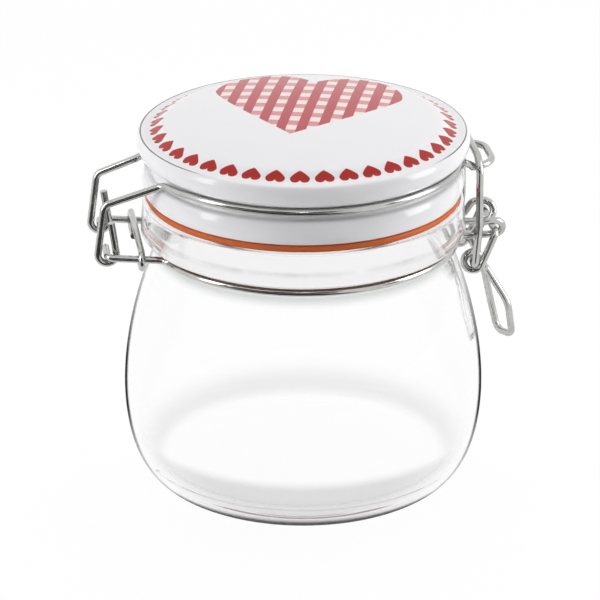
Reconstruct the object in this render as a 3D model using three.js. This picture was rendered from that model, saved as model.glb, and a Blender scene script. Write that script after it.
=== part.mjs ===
import * as THREE from 'three';

// Clip-top storage jar: a turned glass body, a glazed lid, a rubber seal and bent-wire hardware.
// Millimetres, +Z up, base on z = 0, hinge towards -X, latch towards +X.

// Clearance left between neighbouring pieces, and the round wire stock
const GAP = 0.3;
const WIRE_R = 1.1;
const CLIP_WIRE_R = 1.0;
const WIRE_SIDES = 8;

// Fineness of turned pieces and of wire bends
const TURN_SEGMENTS = 48;
const CURVE_POINTS = 8;
const RING_STEP = THREE.MathUtils.degToRad(6);
const BEND_STEP = THREE.MathUtils.degToRad(24);

// Glass body
const BODY_R = 55;
const BODY_WIDE_Z = 29;
const BASE_R = 40;
const BASE_ROUND = 13.5;
const BASE_RISE = 8;
const BELLY_RISE = 19;
const SHOULDER_OUT = 3.2;
const SHOULDER_RISE = 7;
const NECK_R = 45;
const NECK_WIRE_Z = 77.6;
const NECK_GROOVE_DROP = 3.8;
const RIM_OVERHANG = 4.3;
const RIM_TAPER = 0.9;
const RIM_TOP_Z = 90.2;
const RIM_ROUND = 0.8;
const NECK_WALL = 3.2;
const BODY_WALL = 2.6;
const FLOOR_T = 6.8;
const FLOOR_OUT = 2.6;
const FLOOR_ROUND = 9.4;
const FLOOR_RISE = 9;

// Seal
const SEAL_T = 2;
const SEAL_INSET = 1.8;
const SEAL_ROUND = 0.35;

// Lid
const LID_BAND_H = 7.2;
const LID_BAND_INSET = 0.9;
const LID_BAND_BULGE = 0.4;
const LID_BAND_ROUND = 1.2;
const LID_GROOVE_DEPTH = 2.4;
const LID_GROOVE_SLACK = 1.7;
const LID_EDGE_H = 6.95;
const LID_EDGE_OUT = 0.65;
const LID_EDGE_IN = 1.15;
const LID_FLANGE_ROUND = 2;
const LID_BRIM = 2.2;
const LID_SHOULDER_W = 5.6;
const LID_SHOULDER_H = 2.3;
const LID_SHOULDER_LEAD = 2.3;
const LID_DOME_H = 4.65;
const LID_DOME_LEAD = 14;
const LID_DOME_SLOPE = 0.12;
const LID_DOME_FLAT = 16;
const PLUG_INSET = 1.4;
const PLUG_DEPTH = 4.5;
const PLUG_TAPER = 2;
const PLUG_LIP = 1.8;
const DISH_DEPTH = 2;

// Hinge wires
const HINGE_OUT = 14.1;
const HINGE_RISE = 1.8;
const HOOK_R = 2.75;
const HOOK_Y = 13.3;
const HOOK_TAIL = 10;
const HOOK_LEAN = THREE.MathUtils.degToRad(8);
const STRAND_H = 15.6;
const ARM_SLANT = 4.7;
const ARM_ROUND = 4;
const RING_DIP = 0.9;
const DIP_ANGLE = THREE.MathUtils.degToRad(16);
const PIN_STUB = 6;
const CLIP_OUT = 4.2;
const CLIP_RETURN = 7;

// Latch wires
const NOSE_Y = 10.4;
const NOSE_REACH = 9.2;
const NOSE_START = 3.1;
const NOSE_DROP = 2.8;
const NOSE_LIP = 0.4;
const NOSE_ROUND = 7;
const EAR_R = 2.75;
const EAR_OUT = 10.7;
const EAR_RISE = 1.5;
const EAR_Y = 5.6;
const EAR_SHIFT = 3;
const LAYER_GAP = 0.55;
const LEVER_ARM = 11.7;
const LEVER_REST = THREE.MathUtils.degToRad(35.4);
const EYE_R = 2.65;
const EYE_PITCH = 3;
const HANDLE_TILT = THREE.MathUtils.degToRad(19);
const HANDLE_TWIST = THREE.MathUtils.degToRad(26);
const HANDLE_CLEAR = 1.2;
const HANDLE_PINCH = 6.5;
const HANDLE_BELLY = 20;
const HANDLE_BOW = 1.6;
const WAIST_Y = 1.55;
const BELLY_Y = 4.8;
const BELLY_ROUND = 12;
const LOOP_R = 2.8;
const BAR_OUT = 3.7;
const BAR_REST = 1.5;
const BAR_ROUND = 5.5;
const LINK_KINK_Z = 13;
const LINK_KINK_OUT = 1.1;

// Bend radii of the wire, tight to easy
const BEND_TIGHT = 1.9;
const BEND = 2.4;
const BEND_EASY = 3;

// Sizes that follow from the ones above
const RIM_R = NECK_R + RIM_OVERHANG;
const WIRE_ROOM = WIRE_R + GAP;
const NECK_WIRE_R = NECK_R + WIRE_ROOM + GAP / 2;
const RIM_LOW_Z = NECK_WIRE_Z + WIRE_ROOM + GAP;
const MOUTH_R = NECK_R - NECK_WALL;
const INNER_R = BODY_R - BODY_WALL;
const SEAL_Z = RIM_TOP_Z + GAP;
const SEAL_R = RIM_R - SEAL_INSET;
const PLUG_R = MOUTH_R - PLUG_INSET;
const LID_Z = SEAL_Z + SEAL_T + GAP;
const LID_BAND_R = RIM_R - LID_BAND_INSET;
const LID_WIRE_Z = LID_Z + LID_BAND_H + LID_GROOVE_SLACK + WIRE_ROOM;
const LID_FLANGE_Z = LID_WIRE_Z + WIRE_ROOM + GAP / 2;
const LID_GROOVE_R = LID_BAND_R - LID_GROOVE_DEPTH;
const LID_WIRE_R = LID_GROOVE_R + WIRE_ROOM + GAP / 2;
const LID_R = RIM_R + LID_EDGE_OUT;
const LID_EDGE_Z = LID_FLANGE_Z + LID_EDGE_H;
const LID_TOP_Z = LID_EDGE_Z + LID_DOME_H;
const HINGE_X = -(NECK_WIRE_R + HINGE_OUT);
const HINGE_Z = NECK_WIRE_Z + HINGE_RISE;
const LEG_Y = HOOK_Y + 2 * WIRE_R + LAYER_GAP;
const CLIP_X = -(NECK_WIRE_R + CLIP_OUT);
const EAR_FAR_Y = EAR_Y + EAR_SHIFT;
const LEVER_Y = EAR_FAR_Y + 2 * WIRE_R + LAYER_GAP;
const LINK_Y = LEVER_Y + 2 * WIRE_R + LAYER_GAP;
const PIVOT_X = NECK_WIRE_R + EAR_OUT;
const PIVOT_Z = NECK_WIRE_Z + EAR_RISE;
const EYE_X = PIVOT_X - LEVER_ARM * Math.sin(LEVER_REST);
const EYE_Z = PIVOT_Z - LEVER_ARM * Math.cos(LEVER_REST);
const NOSE_Z = LID_WIRE_Z - NOSE_DROP;
const BAR_X = LID_WIRE_R + BAR_OUT;
const BAR_Z = NOSE_Z + 2 * WIRE_R + BAR_REST;
const LINK_LENGTH = Math.hypot(BAR_X - EYE_X, BAR_Z - EYE_Z);
const HANDLE_REACH = LINK_LENGTH - 2 * WIRE_R - HANDLE_CLEAR;

const v2 = (r, z) => new THREE.Vector2(r, z);
const v3 = (x, y, z) => new THREE.Vector3(x, y, z);

// A wire bent through given points, straight between them
class BentWire extends THREE.Curve {
  constructor(points) {
    super();
    this.points = points;
  }

  getPoint(t, target = new THREE.Vector3()) {
    const last = this.points.length - 1;
    const at = Math.min(Math.max(t, 0), 1) * last;
    const index = Math.min(Math.floor(at), last - 1);
    return target.lerpVectors(this.points[index], this.points[index + 1], at - index);
  }

  getUtoTmapping(u) {
    return u;
  }
}

// A corner of a wire: its place and the radius it is bent to
const corner = (x, y, z, radius = 0) => ({ at: v3(x, y, z), radius });

function bentPoints(corners) {
  const points = [corners[0].at];
  for (let i = 1; i < corners.length - 1; i += 1) {
    const { at, radius } = corners[i];
    const into = at.clone().sub(corners[i - 1].at).normalize();
    const out = corners[i + 1].at.clone().sub(at).normalize();
    if (radius === 0) {
      points.push(at);
      continue;
    }
    const turn = into.angleTo(out);
    const side = out.clone().addScaledVector(into, -out.dot(into)).normalize();
    const start = at.clone().addScaledVector(into, -radius * Math.tan(turn / 2));
    const steps = Math.ceil(turn / BEND_STEP);
    for (let k = 0; k <= steps; k += 1) {
      const swept = (turn * k) / steps;
      const along = start.clone().addScaledVector(into, radius * Math.sin(swept));
      points.push(along.addScaledVector(side, radius * (1 - Math.cos(swept))));
    }
  }
  points.push(corners[corners.length - 1].at);
  return points;
}

// Corners of half a wire, completed by its mirror image across the y = 0 plane
function mirrored(half) {
  const back = half.map(({ at, radius }) => corner(at.x, -at.y, at.z, radius));
  const seam = half[half.length - 1].at.y === 0 ? 1 : 0;
  return half.concat(back.reverse().slice(seam));
}

function wire(points, radius) {
  const section = [];
  for (let i = 0; i < WIRE_SIDES; i += 1) {
    const angle = (2 * Math.PI * i) / WIRE_SIDES;
    section.push(v2(radius * Math.cos(angle), radius * Math.sin(angle)));
  }
  const extrudePath = new BentWire(points);
  const steps = points.length - 1;
  return new THREE.ExtrudeGeometry(new THREE.Shape(section), { steps, bevelEnabled: false, extrudePath });
}

function turned(profile) {
  return new THREE.LatheGeometry(profile, TURN_SEGMENTS).rotateX(Math.PI / 2);
}

// Points of a smooth curve between two radii, leaving out its first point
function sweepCurve(from, leave, arrive, to) {
  return new THREE.CubicBezierCurve(from, leave, arrive, to).getPoints(CURVE_POINTS).slice(1);
}

// Where a ring about the z axis crosses a given y, on the -X or the +X side
function ringAngle(radius, y, side) {
  return Math.atan2(y, side * Math.sqrt(radius * radius - y * y));
}

// Corners of an arc of such a ring, with a bend at each end
function ringCorners(radius, z, from, to, bendFrom, bendTo) {
  const steps = Math.max(1, Math.round(Math.abs(to - from) / RING_STEP));
  const corners = [];
  for (let k = 0; k <= steps; k += 1) {
    const angle = from + ((to - from) * k) / steps;
    const bend = k === 0 ? bendFrom : k === steps ? bendTo : 0;
    corners.push(corner(radius * Math.cos(angle), radius * Math.sin(angle), z, bend));
  }
  return corners;
}

// Points of an arc about a y-parallel axis, drifting sideways as it goes round
function eyeCorners(x, z, radius, from, to, yFrom, yTo) {
  const steps = Math.ceil(Math.abs(to - from) / BEND_STEP);
  const corners = [];
  for (let k = 0; k <= steps; k += 1) {
    const part = k / steps;
    const angle = from + (to - from) * part;
    const y = yFrom + (yTo - yFrom) * part;
    corners.push(corner(x + radius * Math.cos(angle), y, z + radius * Math.sin(angle)));
  }
  return corners;
}

function glassJar() {
  const wide = v2(BODY_R, BODY_WIDE_Z);
  const neckLow = v2(NECK_R, NECK_WIRE_Z - NECK_GROOVE_DROP);
  const innerWide = v2(INNER_R, BODY_WIDE_Z);
  const innerNeck = v2(MOUTH_R, NECK_WIRE_Z - NECK_GROOVE_DROP);
  const floorEdge = v2(BASE_R + FLOOR_OUT, FLOOR_T);
  const outer = [
    v2(0, 0),
    v2(BASE_R, 0),
    ...sweepCurve(v2(BASE_R, 0), v2(BASE_R + BASE_ROUND, 0), v2(BODY_R, BODY_WIDE_Z - BASE_RISE), wide),
    ...sweepCurve(
      wide,
      v2(BODY_R, BODY_WIDE_Z + BELLY_RISE),
      v2(neckLow.x + SHOULDER_OUT, neckLow.y - SHOULDER_RISE),
      neckLow,
    ),
    v2(NECK_R, RIM_LOW_Z),
    v2(RIM_R - RIM_ROUND, RIM_LOW_Z + RIM_ROUND),
    v2(RIM_R, RIM_LOW_Z + 2 * RIM_ROUND),
    v2(RIM_R - RIM_TAPER, RIM_TOP_Z - RIM_ROUND),
    v2(RIM_R - RIM_TAPER - RIM_ROUND, RIM_TOP_Z),
  ];
  const inner = [
    v2(MOUTH_R + RIM_ROUND, RIM_TOP_Z),
    v2(MOUTH_R, RIM_TOP_Z - RIM_ROUND),
    innerNeck,
    ...sweepCurve(
      innerNeck,
      v2(innerNeck.x + SHOULDER_OUT, innerNeck.y - SHOULDER_RISE),
      v2(INNER_R, BODY_WIDE_Z + BELLY_RISE),
      innerWide,
    ),
    ...sweepCurve(
      innerWide,
      v2(INNER_R, BODY_WIDE_Z - FLOOR_RISE),
      v2(floorEdge.x + FLOOR_ROUND, FLOOR_T),
      floorEdge,
    ),
    v2(0, FLOOR_T),
  ];
  return turned(outer.concat(inner));
}

function rubberSeal() {
  const inR = PLUG_R + 2 * GAP;
  const top = SEAL_Z + SEAL_T;
  return turned([
    v2(inR, SEAL_Z),
    v2(SEAL_R - SEAL_ROUND, SEAL_Z),
    v2(SEAL_R, SEAL_Z + SEAL_ROUND),
    v2(SEAL_R, top - SEAL_ROUND),
    v2(SEAL_R - SEAL_ROUND, top),
    v2(inR, top),
    v2(inR, SEAL_Z),
  ]);
}

function ceramicLid() {
  const plugZ = LID_Z - PLUG_DEPTH;
  const plugLow = PLUG_R - PLUG_TAPER;
  const bandTop = LID_Z + LID_BAND_H;
  const edge = v2(LID_R - LID_EDGE_IN, LID_EDGE_Z);
  const brim = v2(edge.x - LID_BRIM, LID_EDGE_Z);
  const shoulder = v2(brim.x - LID_SHOULDER_W, LID_EDGE_Z + LID_SHOULDER_H);
  return turned([
    v2(0, plugZ + DISH_DEPTH),
    v2(plugLow - 2 * PLUG_LIP, plugZ + DISH_DEPTH),
    v2(plugLow - PLUG_LIP, plugZ),
    v2(plugLow, plugZ),
    v2(PLUG_R, SEAL_Z),
    v2(PLUG_R, LID_Z),
    v2(LID_BAND_R - LID_BAND_ROUND, LID_Z),
    v2(LID_BAND_R - LID_BAND_BULGE, LID_Z + LID_BAND_H / 6),
    v2(LID_BAND_R, LID_Z + LID_BAND_H / 2),
    v2(LID_BAND_R - LID_BAND_BULGE, bandTop - LID_BAND_H / 6),
    v2(LID_BAND_R - LID_BAND_ROUND, bandTop),
    v2(LID_GROOVE_R, bandTop),
    v2(LID_GROOVE_R, LID_FLANGE_Z),
    v2(LID_R - LID_FLANGE_ROUND, LID_FLANGE_Z),
    v2(LID_R - LID_BAND_BULGE, LID_FLANGE_Z + LID_EDGE_H / 4),
    v2(LID_R, LID_FLANGE_Z + LID_EDGE_H / 2),
    v2(LID_R - LID_BAND_BULGE, LID_EDGE_Z - LID_EDGE_H / 6),
    edge,
    brim,
    ...sweepCurve(
      brim,
      v2(brim.x - LID_SHOULDER_LEAD, brim.y),
      v2(shoulder.x + LID_SHOULDER_LEAD, shoulder.y - LID_SHOULDER_LEAD * LID_DOME_SLOPE),
      shoulder,
    ),
    ...sweepCurve(
      shoulder,
      v2(shoulder.x - LID_DOME_LEAD, shoulder.y + LID_DOME_LEAD * LID_DOME_SLOPE),
      v2(LID_DOME_FLAT, LID_TOP_Z),
      v2(0, LID_TOP_Z),
    ),
  ]);
}

function lidWire() {
  const strandX = HINGE_X - HOOK_R / Math.cos(HOOK_LEAN) + STRAND_H * Math.tan(HOOK_LEAN);
  const tailX = HINGE_X + HOOK_R / Math.cos(HOOK_LEAN) - HOOK_TAIL * Math.tan(HOOK_LEAN);
  const half = (side) => {
    const ringFrom = ringAngle(LID_WIRE_R, side * HOOK_Y - ARM_SLANT, -1);
    const ringTo = ringAngle(LID_WIRE_R, side * NOSE_Y, 1);
    const ring = ringCorners(LID_WIRE_R, LID_WIRE_Z, ringFrom, ringTo, ARM_ROUND, BEND_TIGHT);
    ring.forEach(({ at }) => {
      const angle = Math.atan2(at.y, at.x);
      const fromEnd = Math.min(Math.abs(angle - ringFrom), Math.abs(ringTo - angle));
      at.z -= RING_DIP * Math.max(0, 1 - fromEnd / DIP_ANGLE);
    });
    const hookY = side * HOOK_Y;
    return [
      corner(tailX, hookY, HINGE_Z + HOOK_TAIL),
      ...eyeCorners(HINGE_X, HINGE_Z, HOOK_R, HOOK_LEAN, -Math.PI - HOOK_LEAN, hookY, hookY),
      corner(strandX, hookY, HINGE_Z + STRAND_H, BEND_EASY),
      ...ring,
      corner(LID_WIRE_R + NOSE_START, side * NOSE_Y, NOSE_Z, BEND_TIGHT),
      corner(LID_WIRE_R + NOSE_REACH, side * NOSE_Y, NOSE_Z + NOSE_LIP, NOSE_ROUND),
    ];
  };
  return wire(bentPoints(half(-1).concat(half(1).reverse())), WIRE_R);
}

function neckWire() {
  const legAngle = ringAngle(NECK_WIRE_R, -LEG_Y, -1);
  const earFar = ringAngle(NECK_WIRE_R, -EAR_FAR_Y, 1);
  const earNear = ringAngle(NECK_WIRE_R, -EAR_Y, 1);
  const rimClear = RIM_R + WIRE_ROOM + GAP;
  const half = [
    corner(HINGE_X, -(HOOK_Y - PIN_STUB), HINGE_Z),
    corner(HINGE_X, -LEG_Y, HINGE_Z, BEND_TIGHT),
    ...ringCorners(NECK_WIRE_R, NECK_WIRE_Z, legAngle, earFar, BEND_EASY, BEND_TIGHT),
    corner(rimClear, -EAR_FAR_Y, NECK_WIRE_Z, BEND_TIGHT),
    corner(rimClear + EAR_R, -EAR_FAR_Y, PIVOT_Z + EAR_R, BEND),
    ...eyeCorners(PIVOT_X, PIVOT_Z, EAR_R, Math.PI / 2, -Math.PI / 2, -EAR_FAR_Y, -EAR_Y),
    corner(rimClear, -EAR_Y, PIVOT_Z - EAR_R, BEND_EASY),
    ...ringCorners(NECK_WIRE_R, NECK_WIRE_Z, earNear, 0, BEND_TIGHT, 0),
  ];
  return wire(bentPoints(mirrored(half)), WIRE_R);
}

function neckWireClip() {
  const legStart = -Math.sqrt(NECK_WIRE_R * NECK_WIRE_R - LEG_Y * LEG_Y);
  const legZ = NECK_WIRE_Z + (HINGE_RISE * (CLIP_X - legStart)) / (HINGE_X - legStart);
  const hug = WIRE_ROOM + CLIP_WIRE_R + GAP / 2;
  const half = [corner(CLIP_X, -(LEG_Y - CLIP_RETURN), legZ - hug)];
  const steps = Math.ceil(Math.PI / BEND_STEP);
  for (let k = 0; k <= steps; k += 1) {
    const angle = -Math.PI / 2 - (Math.PI * k) / steps;
    half.push(corner(CLIP_X, -LEG_Y + hug * Math.cos(angle), legZ + hug * Math.sin(angle)));
  }
  return wire(bentPoints(mirrored(half)), CLIP_WIRE_R);
}

function latchLink() {
  const kinkX = EYE_X + LINK_KINK_OUT;
  const half = [
    corner(EYE_X, -(LEVER_Y - EYE_PITCH - WIRE_ROOM), EYE_Z),
    corner(EYE_X, -LINK_Y, EYE_Z, BEND_TIGHT),
    corner(kinkX, -LINK_Y, EYE_Z + LINK_KINK_Z, BEND_EASY),
    corner(BAR_X, -LINK_Y, BAR_Z, BAR_ROUND),
  ];
  return wire(bentPoints(mirrored(half)), WIRE_R);
}

function leverPoints() {
  const armAngle = Math.atan2(EYE_Z - PIVOT_Z, EYE_X - PIVOT_X) + Math.asin(EYE_R / LEVER_ARM);
  const eyeIn = armAngle + Math.PI / 2;
  const eyeTurns = 2 * Math.PI + eyeIn - HANDLE_TILT - 2 * Math.PI * Math.round(eyeIn / (2 * Math.PI));
  const eye = eyeCorners(EYE_X, EYE_Z, EYE_R, eyeIn, eyeIn - eyeTurns, -LEVER_Y, -LEVER_Y + EYE_PITCH);
  const leave = eye[eye.length - 1].at;
  const loopY = LOOP_R + WIRE_R;
  const along = (reach, y, lift, radius) => {
    const x = leave.x + reach * Math.sin(HANDLE_TILT) + lift * Math.cos(HANDLE_TILT);
    const z = leave.z - reach * Math.cos(HANDLE_TILT) + lift * Math.sin(HANDLE_TILT);
    return corner(x, y, z, radius);
  };
  const looped = (reach, y, bow, radius) =>
    along(reach, y * Math.cos(HANDLE_TWIST), bow - y * Math.sin(HANDLE_TWIST), radius);
  const half = (side) => [
    corner(PIVOT_X, side * (EAR_Y - WIRE_R), PIVOT_Z),
    corner(PIVOT_X, side * LEVER_Y, PIVOT_Z, BEND_TIGHT),
    ...eye.map(({ at }) => corner(at.x, -side * at.y, at.z)),
    along(WIRE_R, side * (LEVER_Y - EYE_PITCH), 0, BEND_TIGHT / 2),
    along(HANDLE_PINCH, side * WAIST_Y, HANDLE_BOW / 2, BEND_EASY),
    looped(HANDLE_BELLY, side * BELLY_Y, HANDLE_BOW, BELLY_ROUND),
    looped(HANDLE_REACH, side * loopY, 0, LOOP_R),
  ];
  return bentPoints(half(-1).concat(half(1).reverse()));
}

// Least clear space between the strand entering an eye of the lever and the strand leaving it
function leverSelfGap(points) {
  const half = points.slice(0, Math.floor(points.length / 2));
  const reachOver = 2 * EYE_R;
  const run = [0];
  for (let i = 1; i < half.length; i += 1) run.push(run[i - 1] + half[i].distanceTo(half[i - 1]));
  let least = Infinity;
  half.forEach((a, i) => {
    half.forEach((b, j) => {
      if (run[j] - run[i] > 2 * reachOver) least = Math.min(least, a.distanceTo(b));
    });
  });
  return least - 2 * WIRE_R;
}

const group = new THREE.Group();
group.name = 'lidded_jar';

function add(name, geometry, color, roughness, metalness) {
  const mesh = new THREE.Mesh(geometry, new THREE.MeshStandardMaterial({ color, roughness, metalness }));
  mesh.name = name;
  group.add(mesh);
}

const GLASS = 0xdfe9e8;
const GLAZE = 0xf4f1f3;
const RUBBER = 0xd76432;
const STEEL = 0xb9bbbc;

const lever = leverPoints();
add('glass_jar', glassJar(), GLASS, 0.05, 0);
add('ceramic_lid', ceramicLid(), GLAZE, 0.15, 0);
add('rubber_seal', rubberSeal(), RUBBER, 0.6, 0);
add('neck_wire', neckWire(), STEEL, 0.25, 1);
add('neck_wire_clip', neckWireClip(), STEEL, 0.25, 1);
add('lid_wire', lidWire(), STEEL, 0.25, 1);
add('latch_link', latchLink(), STEEL, 0.25, 1);
add('latch_lever', wire(lever, WIRE_R), STEEL, 0.25, 1);
console.log(`lever eye least self-gap ${leverSelfGap(lever).toFixed(2)} mm`);

export default group;
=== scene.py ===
"""Looks of a clip-top storage jar: glass body, printed lid, rubber seal and bent-wire fittings."""

import math

import bpy
from bpy.props import FloatProperty, FloatVectorProperty, IntProperty, PointerProperty
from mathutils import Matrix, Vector


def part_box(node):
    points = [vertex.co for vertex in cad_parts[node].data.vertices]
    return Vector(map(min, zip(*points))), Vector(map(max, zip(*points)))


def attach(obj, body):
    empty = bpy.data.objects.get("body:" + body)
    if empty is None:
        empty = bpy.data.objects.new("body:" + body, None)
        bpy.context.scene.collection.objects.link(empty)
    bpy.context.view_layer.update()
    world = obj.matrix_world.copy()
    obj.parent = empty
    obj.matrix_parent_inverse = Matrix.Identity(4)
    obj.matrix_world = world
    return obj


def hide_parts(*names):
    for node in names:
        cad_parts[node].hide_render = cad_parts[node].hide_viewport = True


bl_info = {
    "name": "Clip-top jar",
    "version": (1, 0, 0),
    "blender": (4, 5, 0),
    "location": "3D View > Sidebar > Jar",
    "description": "Models a clip-top glass jar with a printed lid and wire fittings",
    "category": "Object",
}

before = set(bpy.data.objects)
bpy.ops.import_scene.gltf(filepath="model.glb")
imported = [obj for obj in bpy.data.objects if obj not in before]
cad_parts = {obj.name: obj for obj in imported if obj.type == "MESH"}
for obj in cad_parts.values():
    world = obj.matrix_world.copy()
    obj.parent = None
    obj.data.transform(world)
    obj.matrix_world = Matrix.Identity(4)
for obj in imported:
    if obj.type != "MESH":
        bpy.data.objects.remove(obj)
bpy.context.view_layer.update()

MM = 0.001
GLASS_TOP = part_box("glass_jar")[1]
LID_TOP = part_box("ceramic_lid")[1]
SEAL_LOW, SEAL_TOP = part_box("rubber_seal")

# Fineness of turned pieces, curves and wire bends
TURN_STEPS = 144
CURVE_STEPS = 40
PROFILE_STEP = math.radians(10)
BEND_STEP = math.radians(7)
RING_STEP = math.radians(2)
WIRE_ROUND = 5
SMOOTH_ANGLE = math.radians(42)
WELD = 1e-6
SEED = 2 * MM

# Glass body
BODY_WIDE_Z = 29 * MM
BASE_ROUND = 13.5 * MM
BASE_RISE = 8 * MM
BELLY_RISE = 19 * MM
SHOULDER_OUT = 3.2 * MM
SHOULDER_RISE = 7 * MM
NECK_LOW_Z = 73.8 * MM
RIM_LOW_Z = 79.3 * MM
RIM_OVERHANG = 4.3 * MM
RIM_TAPER = 0.9 * MM
RIM_ROUND = 1.1 * MM
FLOOR_OUT = 2.6 * MM
FLOOR_ROUND = 9.4 * MM
FLOOR_RISE = 9 * MM
RIPPLE_FROM = 0.62
RIPPLE_COUNT = 4
RIPPLE_DEPTH = 0.035 * MM

# Tints of the glass, and painted shade and painted reflections on it, by height, by distance from the
# axis and by slant
FOOT_LOW_Z = 1 * MM
FOOT_HIGH_Z = 15 * MM
FOOT_IN_R = 41 * MM
FOOT_OUT_R = 48 * MM
BASE_TOP_Z = 21 * MM
BASE_FULL_Z = 16.5 * MM
BASE_LOW_Z = 9 * MM
BASE_SHARE = 0.65
# Painted shade: a dark line along the foot, shown to the camera
FOOT_LINE_Z = 6 * MM
FOOT_LINE_FULL_Z = 3.2 * MM
FOOT_LINE = 0.9
FOOT_LINE_FROM = 0.30
FOOT_LINE_FULL = 0.52
NECK_TINT_Z = 76 * MM
# Painted reflections: soft streaks round the neck
STREAK_LOW_Z = 82.4 * MM
STREAK_Z = 84.2 * MM
STREAK_TOP_Z = 85.4 * MM
BEAD_LOW_Z = 71.5 * MM
BEAD_Z = 75 * MM
BEAD_TOP_Z = 77 * MM
# Painted shade where the glass is seen edge on, strongest at the belly
EDGE_FOOT_Z = 8 * MM
EDGE_BELLY_Z = 24 * MM
EDGE_SHOULDER_Z = 40 * MM
EDGE_FOOT = 0.4
EDGE_NECK = 0.3
EDGE_FROM = 0.80
EDGE_FULL = 0.87
# Painted shade where the glass is seen aslant
ASLANT_FROM = 0.30
ASLANT_FULL = 0.80
GLASS_IOR = 1.5
RAY_LIMIT = 4.5

# Lid and seal
PLUG_R = 40.4 * MM
PLUG_LOW_R = 38.4 * MM
PLUG_LOW_Z = 88.3 * MM
PLUG_LIP = 1.8 * MM
PLUG_ROUND = 0.8 * MM
PLUG_EASE = 0.6 * MM
PLUG_STRAIGHT = 2.7 * MM
DISH_DEPTH = 2 * MM
DISH_ROUND = 1.4 * MM
SEAT_ROUND = 0.5 * MM
LID_LOW_Z = 92.8 * MM
BAND_TOP_Z = 100.0 * MM
BAND_IN = 1.05 * MM
BAND_SWELL = 1.2 * MM
BAND_LOW_ROUND = 0.9 * MM
BAND_CROWN = 7 * MM
BAND_TOP_ROUND = 1.3 * MM
GROOVE_R = 46.0 * MM
GROOVE_STEP = 0.3 * MM
GROOVE_LOW_ROUND = 0.5 * MM
GROOVE_TOP_ROUND = 0.6 * MM
FLANGE_LOW_Z = 104.65 * MM
FLANGE_SWELL = 2.0 * MM
FLANGE_LOW_ROUND = 1.2 * MM
EDGE_Z = 111.6 * MM
EDGE_ROUND = 0.5 * MM
EDGE_IN = 1.15 * MM
EDGE_EASE = 1.2 * MM
BRIM = 2.2 * MM
SHOULDER_W = 5.6 * MM
SHOULDER_H = 2.3 * MM
SHOULDER_LEAD = 2.3 * MM
DOME_LEAD = 14 * MM
DOME_SLOPE = 0.12
DOME_FLAT = 16 * MM
SEAL_LIP_ROUND = 0.7 * MM
SEAL_BORE_ROUND = 0.4 * MM

# Wire fittings
WIRE_ROOM = 1.4 * MM
NECK_WIRE_R = 46.55 * MM
NECK_WIRE_Z = 77.6 * MM
LID_WIRE_R = 47.55 * MM
LID_WIRE_Z = 103.1 * MM
RIM_CLEAR = 51.0 * MM
HINGE_X = -60.65 * MM
HINGE_Z = 79.4 * MM
HOOK_R = 2.75 * MM
HOOK_Y = 13.3 * MM
HOOK_TAIL = 10 * MM
HOOK_LEAN = math.radians(8)
STRAND_H = 15.6 * MM
ARM_SLANT = 4.7 * MM
ARM_ROUND = 4 * MM
ARM_SKIP = 4
RING_DIP = 0.9 * MM
DIP_ANGLE = math.radians(16)
PIN_STUB = 6 * MM
LEG_Y = 16.05 * MM
CLIP_X = -50.75 * MM
CLIP_RETURN = 7 * MM
CLIP_PLAY = 0.45 * MM
HINGE_RISE = 1.8 * MM
NOSE_Y = 10.4 * MM
NOSE_REACH = 9.2 * MM
NOSE_START = 3.1 * MM
NOSE_Z = 100.3 * MM
NOSE_LIP = 0.4 * MM
NOSE_ROUND = 7 * MM
EAR_R = 2.75 * MM
EAR_Y = 5.6 * MM
EAR_FAR_Y = 8.6 * MM
PIVOT_X = 57.25 * MM
PIVOT_Z = 79.1 * MM
LEVER_Y = 11.35 * MM
LINK_Y = 14.1 * MM
LEVER_ARM = 11.7 * MM
EYE_X = 50.4724 * MM
EYE_Z = 69.563 * MM
EYE_R = 2.65 * MM
EYE_PITCH = 3 * MM
HANDLE_TILT = math.radians(19)
HANDLE_TWIST = math.radians(26)
HANDLE_REACH = 31.0458 * MM
HANDLE_PINCH = 6.5 * MM
HANDLE_BELLY = 20 * MM
HANDLE_BOW = 1.6 * MM
WAIST_Y = 1.55 * MM
BELLY_Y = 4.8 * MM
BELLY_ROUND = 12 * MM
LOOP_R = 2.8 * MM
BAR_X = 51.25 * MM
BAR_Z = 104.0 * MM
BAR_ROUND = 5.5 * MM
LINK_KINK_Z = 13 * MM
LINK_KINK_OUT = 1.1 * MM
BEND_TIGHT = 1.9 * MM
BEND = 2.4 * MM
BEND_EASY = 3 * MM
CUT_ROUND = 0.35 * MM

# Print on the lid
PRINT_TURN = math.radians(16.4)
HEART_ACROSS = -1.3 * MM
HEART_ALONG = 20 * MM
HEART_FORM = {"Drop": 37.3 * MM, "Rise": 18.5 * MM, "Side curve": 0.75, "Lobe place": 0.44}
CHECK_ACROSS = 1.28 * MM
CHECK_ALONG = -1.3 * MM
BORDER_R = 44.2 * MM
BORDER_FORM = {"Drop": 2.5 * MM, "Rise": 1.75 * MM, "Side curve": 0.78, "Lobe place": 0.48}
BORDER_PHASE = math.radians(-99.3)
# Painted reflection: a thin dark line along the lid's edge, fading out at the front
EDGE_LINE = 0.2 * MM
EDGE_LINE_WIDE = 0.7 * MM
EDGE_LINE_FRONT = -38 * MM
EDGE_LINE_FULL = -28 * MM
EDGE_LINE_BACK = 35 * MM
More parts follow.
